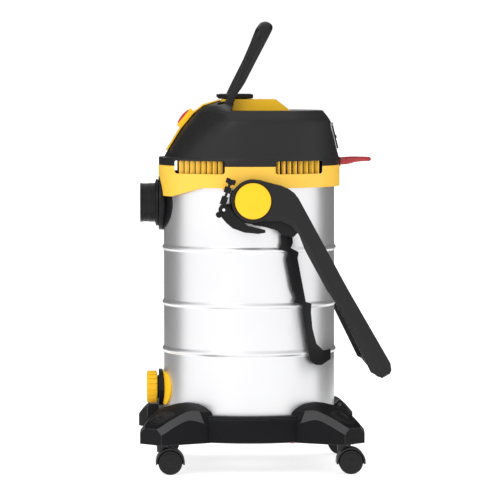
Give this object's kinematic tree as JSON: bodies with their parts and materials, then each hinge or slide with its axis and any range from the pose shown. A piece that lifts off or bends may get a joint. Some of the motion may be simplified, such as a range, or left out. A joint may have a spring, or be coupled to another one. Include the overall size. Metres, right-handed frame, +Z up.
{
  "type": "wet and dry vacuum cleaner",
  "caption": "Upright steel-drum wet and dry vacuum cleaner with lift-off motor head, carry handle, fold-down push handle, side latches, drain and caster base.",
  "frame": {"origin": "on the floor under the centre of the machine's bounding box, the free cord left out", "axes": "+X towards the cord and push-handle grip (rear), -X towards the hose inlet (front), +Z up, Y across"},
  "size_m": [0.4691, 0.7481, 0.8413],
  "materials": {
    "stainless": "bright rolled sheet",
    "base_plastic": "fine moulded texture",
    "housing_plastic": "fine moulded texture",
    "handle_plastic": "satin moulded",
    "black_plastic": "satin moulded",
    "yellow_plastic": "satin to semi-gloss",
    "red_plastic": "glossy",
    "grey_plastic": "satin",
    "black_rubber": "matt",
    "zinc_steel": "zinc plated",
    "pin_steel": "polished",
    "motor_steel": "bare",
    "fan_aluminium": "pressed",
    "filter_paper": "pleated paper",
    "float_plastic": "smooth",
    "cord_red": "smooth jacket",
    "plug_black": "moulded",
    "caster_plastic": "satin",
    "wheel_rubber": "moulded tread"
  },
  "bodies": {
    "root": {"tank": "stainless", "tank_beads": "stainless", "base_frame": "base_plastic", "base_screws": "zinc_steel", "caster_caps": "black_plastic", "front_buffer": "black_plastic", "tool_holder": "black_plastic", "inlet_body": "black_plastic", "inlet_ring": "black_plastic", "inlet_deflector": "black_plastic", "drain_body": "black_plastic", "drain_plate": "yellow_plastic", "drain_seal": "black_rubber", "pivot_bracket_left": "black_plastic", "pivot_bracket_right": "black_plastic", "tool_rail": "black_plastic", "latch_pins": "pin_steel", "cord": "cord_red", "cord_coil": "cord_red", "plug": "plug_black"},
    "head": {"head_ring": "yellow_plastic", "head_catches": "yellow_plastic", "vent_ribs": "yellow_plastic", "head_cover": "housing_plastic", "top_plate": "yellow_plastic", "front_panel": "yellow_plastic", "socket_plate": "grey_plastic", "cord_gland": "black_rubber", "motor": "motor_steel", "motor_plate": "black_plastic", "filter_cage": "black_plastic", "filter_cartridge": "filter_paper", "filter_nut": "black_plastic", "head_seal": "black_rubber", "head_screws": "zinc_steel"},
    "push_handle": {"push_handle": "handle_plastic", "pivot_caps": "yellow_plastic"},
    "drain_cap": {"drain_cap": "yellow_plastic"},
    "latch_lever_left": {"latch_lever_left": "black_plastic"},
    "latch_lever_right": {"latch_lever_right": "black_plastic"},
    "latch_bolt_left": {"latch_bolt_left": "black_plastic"},
    "latch_bolt_right": {"latch_bolt_right": "black_plastic"},
    "rocker_switch": {"rocker_switch": "red_plastic"},
    "selector_knob": {"selector_knob": "black_plastic"},
    "socket_flap": {"socket_flap": "black_plastic"},
    "float_ball": {"float_ball": "float_plastic"},
    "fan_impeller": {"fan_impeller": "fan_aluminium"},
    "carry_handle": {"carry_handle": "handle_plastic"},
    "caster_front_left": {"caster_fork_front_left": "caster_plastic", "caster_axle_front_left": "pin_steel"},
    "wheels_front_left": {"caster_wheels_front_left": "wheel_rubber"},
    "caster_front_right": {"caster_fork_front_right": "caster_plastic", "caster_axle_front_right": "pin_steel"},
    "wheels_front_right": {"caster_wheels_front_right": "wheel_rubber"},
    "caster_rear_left": {"caster_fork_rear_left": "caster_plastic", "caster_axle_rear_left": "pin_steel"},
    "wheels_rear_left": {"caster_wheels_rear_left": "wheel_rubber"},
    "caster_rear_right": {"caster_fork_rear_right": "caster_plastic", "caster_axle_rear_right": "pin_steel"},
    "wheels_rear_right": {"caster_wheels_rear_right": "wheel_rubber"}
  },
  "joints": [
    {"name": "head_lift", "type": "slide", "parent": "root", "child": "head", "axis": [0, 0, 1], "range_m": [0, 0.16]},
    {"name": "push_handle_fold", "type": "hinge", "parent": "root", "child": "push_handle", "pos_m": [-0.025, 0, 0.5085], "axis": [0, -1, 0], "range_deg": [0, 110]},
    {"name": "drain_cap_turn", "type": "hinge", "parent": "root", "child": "drain_cap", "pos_m": [-0.21, 0, 0.148], "axis": [-1, 0, 0], "range_deg": [0, 360]},
    {"name": "latch_left_open", "type": "hinge", "parent": "root", "child": "latch_lever_left", "pos_m": [-0.079, -0.188, 0.4925], "axis": [0, 1, 0], "range_deg": [0, 120]},
    {"name": "latch_left_bolt", "type": "hinge", "parent": "latch_lever_left", "child": "latch_bolt_left", "pos_m": [-0.088, -0.1995, 0.4835], "axis": [0, 1, 0], "range_deg": [-120, 0]},
    {"name": "latch_right_open", "type": "hinge", "parent": "root", "child": "latch_lever_right", "pos_m": [-0.079, 0.188, 0.4925], "axis": [0, 1, 0], "range_deg": [0, 120]},
    {"name": "latch_right_bolt", "type": "hinge", "parent": "latch_lever_right", "child": "latch_bolt_right", "pos_m": [-0.088, 0.1995, 0.4835], "axis": [0, 1, 0], "range_deg": [-120, 0]},
    {"name": "switch_rock", "type": "hinge", "parent": "head", "child": "rocker_switch", "pos_m": [-0.14315, 0, 0.65681], "axis": [0, 1, 0], "range_deg": [0, 10]},
    {"name": "selector_turn", "type": "hinge", "parent": "head", "child": "selector_knob", "pos_m": [-0.051, 0, 0.7], "axis": [0, 0, 1], "range_deg": [-135, 135]},
    {"name": "socket_flap_open", "type": "hinge", "parent": "head", "child": "socket_flap", "pos_m": [0.1317, 0, 0.64821], "axis": [0, -1, 0], "range_deg": [0, 110], "stiffness_Nm_per_rad": 0.01, "springref_deg": -20.05},
    {"name": "float_rise", "type": "slide", "parent": "head", "child": "float_ball", "axis": [0, 0, 1], "range_m": [0, 0.05]},
    {"name": "fan_spin", "type": "hinge", "parent": "head", "child": "fan_impeller", "pos_m": [-0.025, 0, 0.562], "axis": [0, 0, 1], "continuous": true},
    {"name": "carry_handle_tilt", "type": "hinge", "parent": "head", "child": "carry_handle", "pos_m": [-0.069, 0, 0.68], "axis": [0, 1, 0], "range_deg": [-45, 52]},
    {"name": "caster_swivel_front_left", "type": "hinge", "parent": "root", "child": "caster_front_left", "pos_m": [-0.193, -0.168, 0.05], "axis": [0, 0, 1], "continuous": true},
    {"name": "caster_roll_front_left", "type": "hinge", "parent": "caster_front_left", "child": "wheels_front_left", "pos_m": [-0.178, -0.168, 0.0225], "axis": [0, 1, 0], "continuous": true},
    {"name": "caster_swivel_front_right", "type": "hinge", "parent": "root", "child": "caster_front_right", "pos_m": [-0.193, 0.168, 0.05], "axis": [0, 0, 1], "continuous": true},
    {"name": "caster_roll_front_right", "type": "hinge", "parent": "caster_front_right", "child": "wheels_front_right", "pos_m": [-0.178, 0.168, 0.0225], "axis": [0, 1, 0], "continuous": true},
    {"name": "caster_swivel_rear_left", "type": "hinge", "parent": "root", "child": "caster_rear_left", "pos_m": [0.143, -0.168, 0.05], "axis": [0, 0, 1], "continuous": true},
    {"name": "caster_roll_rear_left", "type": "hinge", "parent": "caster_rear_left", "child": "wheels_rear_left", "pos_m": [0.158, -0.168, 0.0225], "axis": [0, 1, 0], "continuous": true},
    {"name": "caster_swivel_rear_right", "type": "hinge", "parent": "root", "child": "caster_rear_right", "pos_m": [0.143, 0.168, 0.05], "axis": [0, 0, 1], "continuous": true},
    {"name": "caster_roll_rear_right", "type": "hinge", "parent": "caster_rear_right", "child": "wheels_rear_right", "pos_m": [0.158, 0.168, 0.0225], "axis": [0, 1, 0], "continuous": true}
  ],
  "couplings": [
    {"joint": "latch_left_bolt", "follows": "latch_left_open", "ratio": -1},
    {"joint": "latch_right_bolt", "follows": "latch_right_open", "ratio": -1}
  ]
}
